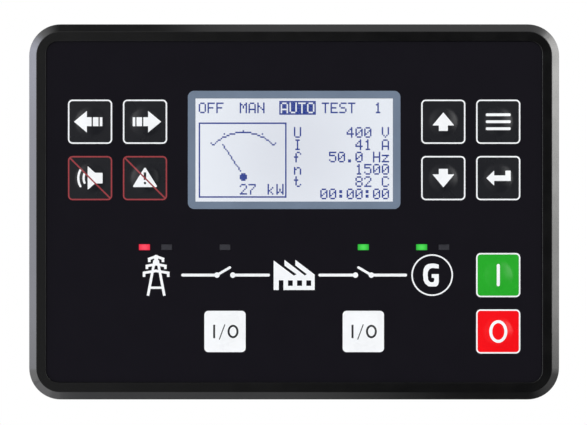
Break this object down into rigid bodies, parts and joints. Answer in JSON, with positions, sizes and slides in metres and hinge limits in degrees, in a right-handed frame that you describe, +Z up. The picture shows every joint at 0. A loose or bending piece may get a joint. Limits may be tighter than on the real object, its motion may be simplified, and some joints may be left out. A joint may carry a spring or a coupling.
{
  "type": "genset controller",
  "caption": "Panel-mounted controller for a standby generator, with a lit display, sealed push keys, status lights and pull-out screw terminals at the back.",
  "frame": {"origin": "centre of the panel cut-out, on the plane where the gasket meets the panel's front face", "axes": "+X to the right as seen by the operator, +Y through the panel towards the rear, +Z up"},
  "size_m": [0.185, 0.0597, 0.131],
  "materials": {
    "bezel_plastic": "fine texture, semi-gloss",
    "overlay_polyester": "semi-matte",
    "white_ink": "satin print",
    "red_ink": "satin print",
    "green_ink": "satin print",
    "dark_ink": "satin print",
    "clear_acrylic": "clear, glossy",
    "slate_ink": "satin print",
    "tinned_steel": "bright",
    "display_glass": "lit from behind",
    "white_acrylic": "milky",
    "board_laminate": "satin",
    "black_nylon": "matt",
    "led_epoxy": "glossy",
    "red_acrylic": "lit",
    "green_acrylic": "lit",
    "smoked_acrylic": "unlit",
    "gasket_rubber": "matt foam",
    "housing_plastic": "fine texture",
    "screw_steel": "zinc plated",
    "chip_epoxy": "matt",
    "cell_steel": "satin",
    "capacitor_sleeve": "satin sleeve",
    "blue_nylon": "satin",
    "green_nylon": "satin",
    "tinned_brass": "tin plated",
    "button_plastic": "matt"
  },
  "bodies": {
    "controller": {"front_bezel": "bezel_plastic", "front_plate": "bezel_plastic", "overlay_film": "overlay_polyester", "print_white": "white_ink", "print_red": "red_ink", "print_green": "green_ink", "print_dark": "dark_ink", "window_lens": "clear_acrylic", "window_border": "slate_ink", "display_frame": "tinned_steel", "display_cell": "display_glass", "light_guide": "white_acrylic", "display_board": "board_laminate", "switch_bodies": "black_nylon", "status_leds": "led_epoxy", "light_pipe_red": "red_acrylic", "light_pipes_green": "green_acrylic", "light_pipes_unlit": "smoked_acrylic", "panel_gasket": "gasket_rubber", "rear_housing": "housing_plastic", "housing_screws": "screw_steel", "main_board": "board_laminate", "board_screws": "screw_steel", "link_header": "black_nylon", "link_socket": "black_nylon", "processor": "chip_epoxy", "coin_cell": "cell_steel", "coin_holder": "black_nylon", "capacitors": "capacitor_sleeve", "current_transformers": "blue_nylon", "usb_shell": "tinned_steel", "usb_tongue": "black_nylon", "top_headers": "green_nylon", "bottom_headers": "green_nylon", "header_pins": "tinned_brass"},
    "key_left": {"button_left": "button_plastic"},
    "key_right": {"button_right": "button_plastic"},
    "key_horn": {"button_horn": "button_plastic"},
    "key_alarm": {"button_alarm": "button_plastic"},
    "key_up": {"button_up": "button_plastic"},
    "key_menu": {"button_menu": "button_plastic"},
    "key_down": {"button_down": "button_plastic"},
    "key_enter": {"button_enter": "button_plastic"},
    "key_start": {"button_start": "button_plastic"},
    "key_stop": {"button_stop": "button_plastic"},
    "key_mains": {"button_mains": "button_plastic"},
    "key_generator": {"button_generator": "button_plastic"},
    "terminal_top_left": {"plug_top_left": "green_nylon", "screws_top_left": "screw_steel"},
    "terminal_top_right": {"plug_top_right": "green_nylon", "screws_top_right": "screw_steel"},
    "terminal_bottom_left": {"plug_bottom_left": "green_nylon", "screws_bottom_left": "screw_steel"},
    "terminal_bottom_middle": {"plug_bottom_middle": "green_nylon", "screws_bottom_middle": "screw_steel"},
    "terminal_bottom_right": {"plug_bottom_right": "green_nylon", "screws_bottom_right": "screw_steel"}
  },
  "joints": [
    {"name": "left_key_press", "type": "slide", "parent": "controller", "child": "key_left", "axis": [0, 1, 0], "range_m": [0, 0.0004], "stiffness_N_per_m": 1500, "springref_m": -0.0006},
    {"name": "right_key_press", "type": "slide", "parent": "controller", "child": "key_right", "axis": [0, 1, 0], "range_m": [0, 0.0004], "stiffness_N_per_m": 1500, "springref_m": -0.0006},
    {"name": "horn_key_press", "type": "slide", "parent": "controller", "child": "key_horn", "axis": [0, 1, 0], "range_m": [0, 0.0004], "stiffness_N_per_m": 1500, "springref_m": -0.0006},
    {"name": "alarm_key_press", "type": "slide", "parent": "controller", "child": "key_alarm", "axis": [0, 1, 0], "range_m": [0, 0.0004], "stiffness_N_per_m": 1500, "springref_m": -0.0006},
    {"name": "up_key_press", "type": "slide", "parent": "controller", "child": "key_up", "axis": [0, 1, 0], "range_m": [0, 0.0004], "stiffness_N_per_m": 1500, "springref_m": -0.0006},
    {"name": "menu_key_press", "type": "slide", "parent": "controller", "child": "key_menu", "axis": [0, 1, 0], "range_m": [0, 0.0004], "stiffness_N_per_m": 1500, "springref_m": -0.0006},
    {"name": "down_key_press", "type": "slide", "parent": "controller", "child": "key_down", "axis": [0, 1, 0], "range_m": [0, 0.0004], "stiffness_N_per_m": 1500, "springref_m": -0.0006},
    {"name": "enter_key_press", "type": "slide", "parent": "controller", "child": "key_enter", "axis": [0, 1, 0], "range_m": [0, 0.0004], "stiffness_N_per_m": 1500, "springref_m": -0.0006},
    {"name": "start_key_press", "type": "slide", "parent": "controller", "child": "key_start", "axis": [0, 1, 0], "range_m": [0, 0.0004], "stiffness_N_per_m": 1500, "springref_m": -0.0006},
    {"name": "stop_key_press", "type": "slide", "parent": "controller", "child": "key_stop", "axis": [0, 1, 0], "range_m": [0, 0.0004], "stiffness_N_per_m": 1500, "springref_m": -0.0006},
    {"name": "mains_key_press", "type": "slide", "parent": "controller", "child": "key_mains", "axis": [0, 1, 0], "range_m": [0, 0.0004], "stiffness_N_per_m": 1500, "springref_m": -0.0006},
    {"name": "generator_key_press", "type": "slide", "parent": "controller", "child": "key_generator", "axis": [0, 1, 0], "range_m": [0, 0.0004], "stiffness_N_per_m": 1500, "springref_m": -0.0006},
    {"name": "top_left_plug_pull", "type": "slide", "parent": "controller", "child": "terminal_top_left", "axis": [0, 1, 0], "range_m": [0, 0.012]},
    {"name": "top_right_plug_pull", "type": "slide", "parent": "controller", "child": "terminal_top_right", "axis": [0, 1, 0], "range_m": [0, 0.012]},
    {"name": "bottom_left_plug_pull", "type": "slide", "parent": "controller", "child": "terminal_bottom_left", "axis": [0, 1, 0], "range_m": [0, 0.012]},
    {"name": "bottom_middle_plug_pull", "type": "slide", "parent": "controller", "child": "terminal_bottom_middle", "axis": [0, 1, 0], "range_m": [0, 0.012]},
    {"name": "bottom_right_plug_pull", "type": "slide", "parent": "controller", "child": "terminal_bottom_right", "axis": [0, 1, 0], "range_m": [0, 0.012]}
  ]
}
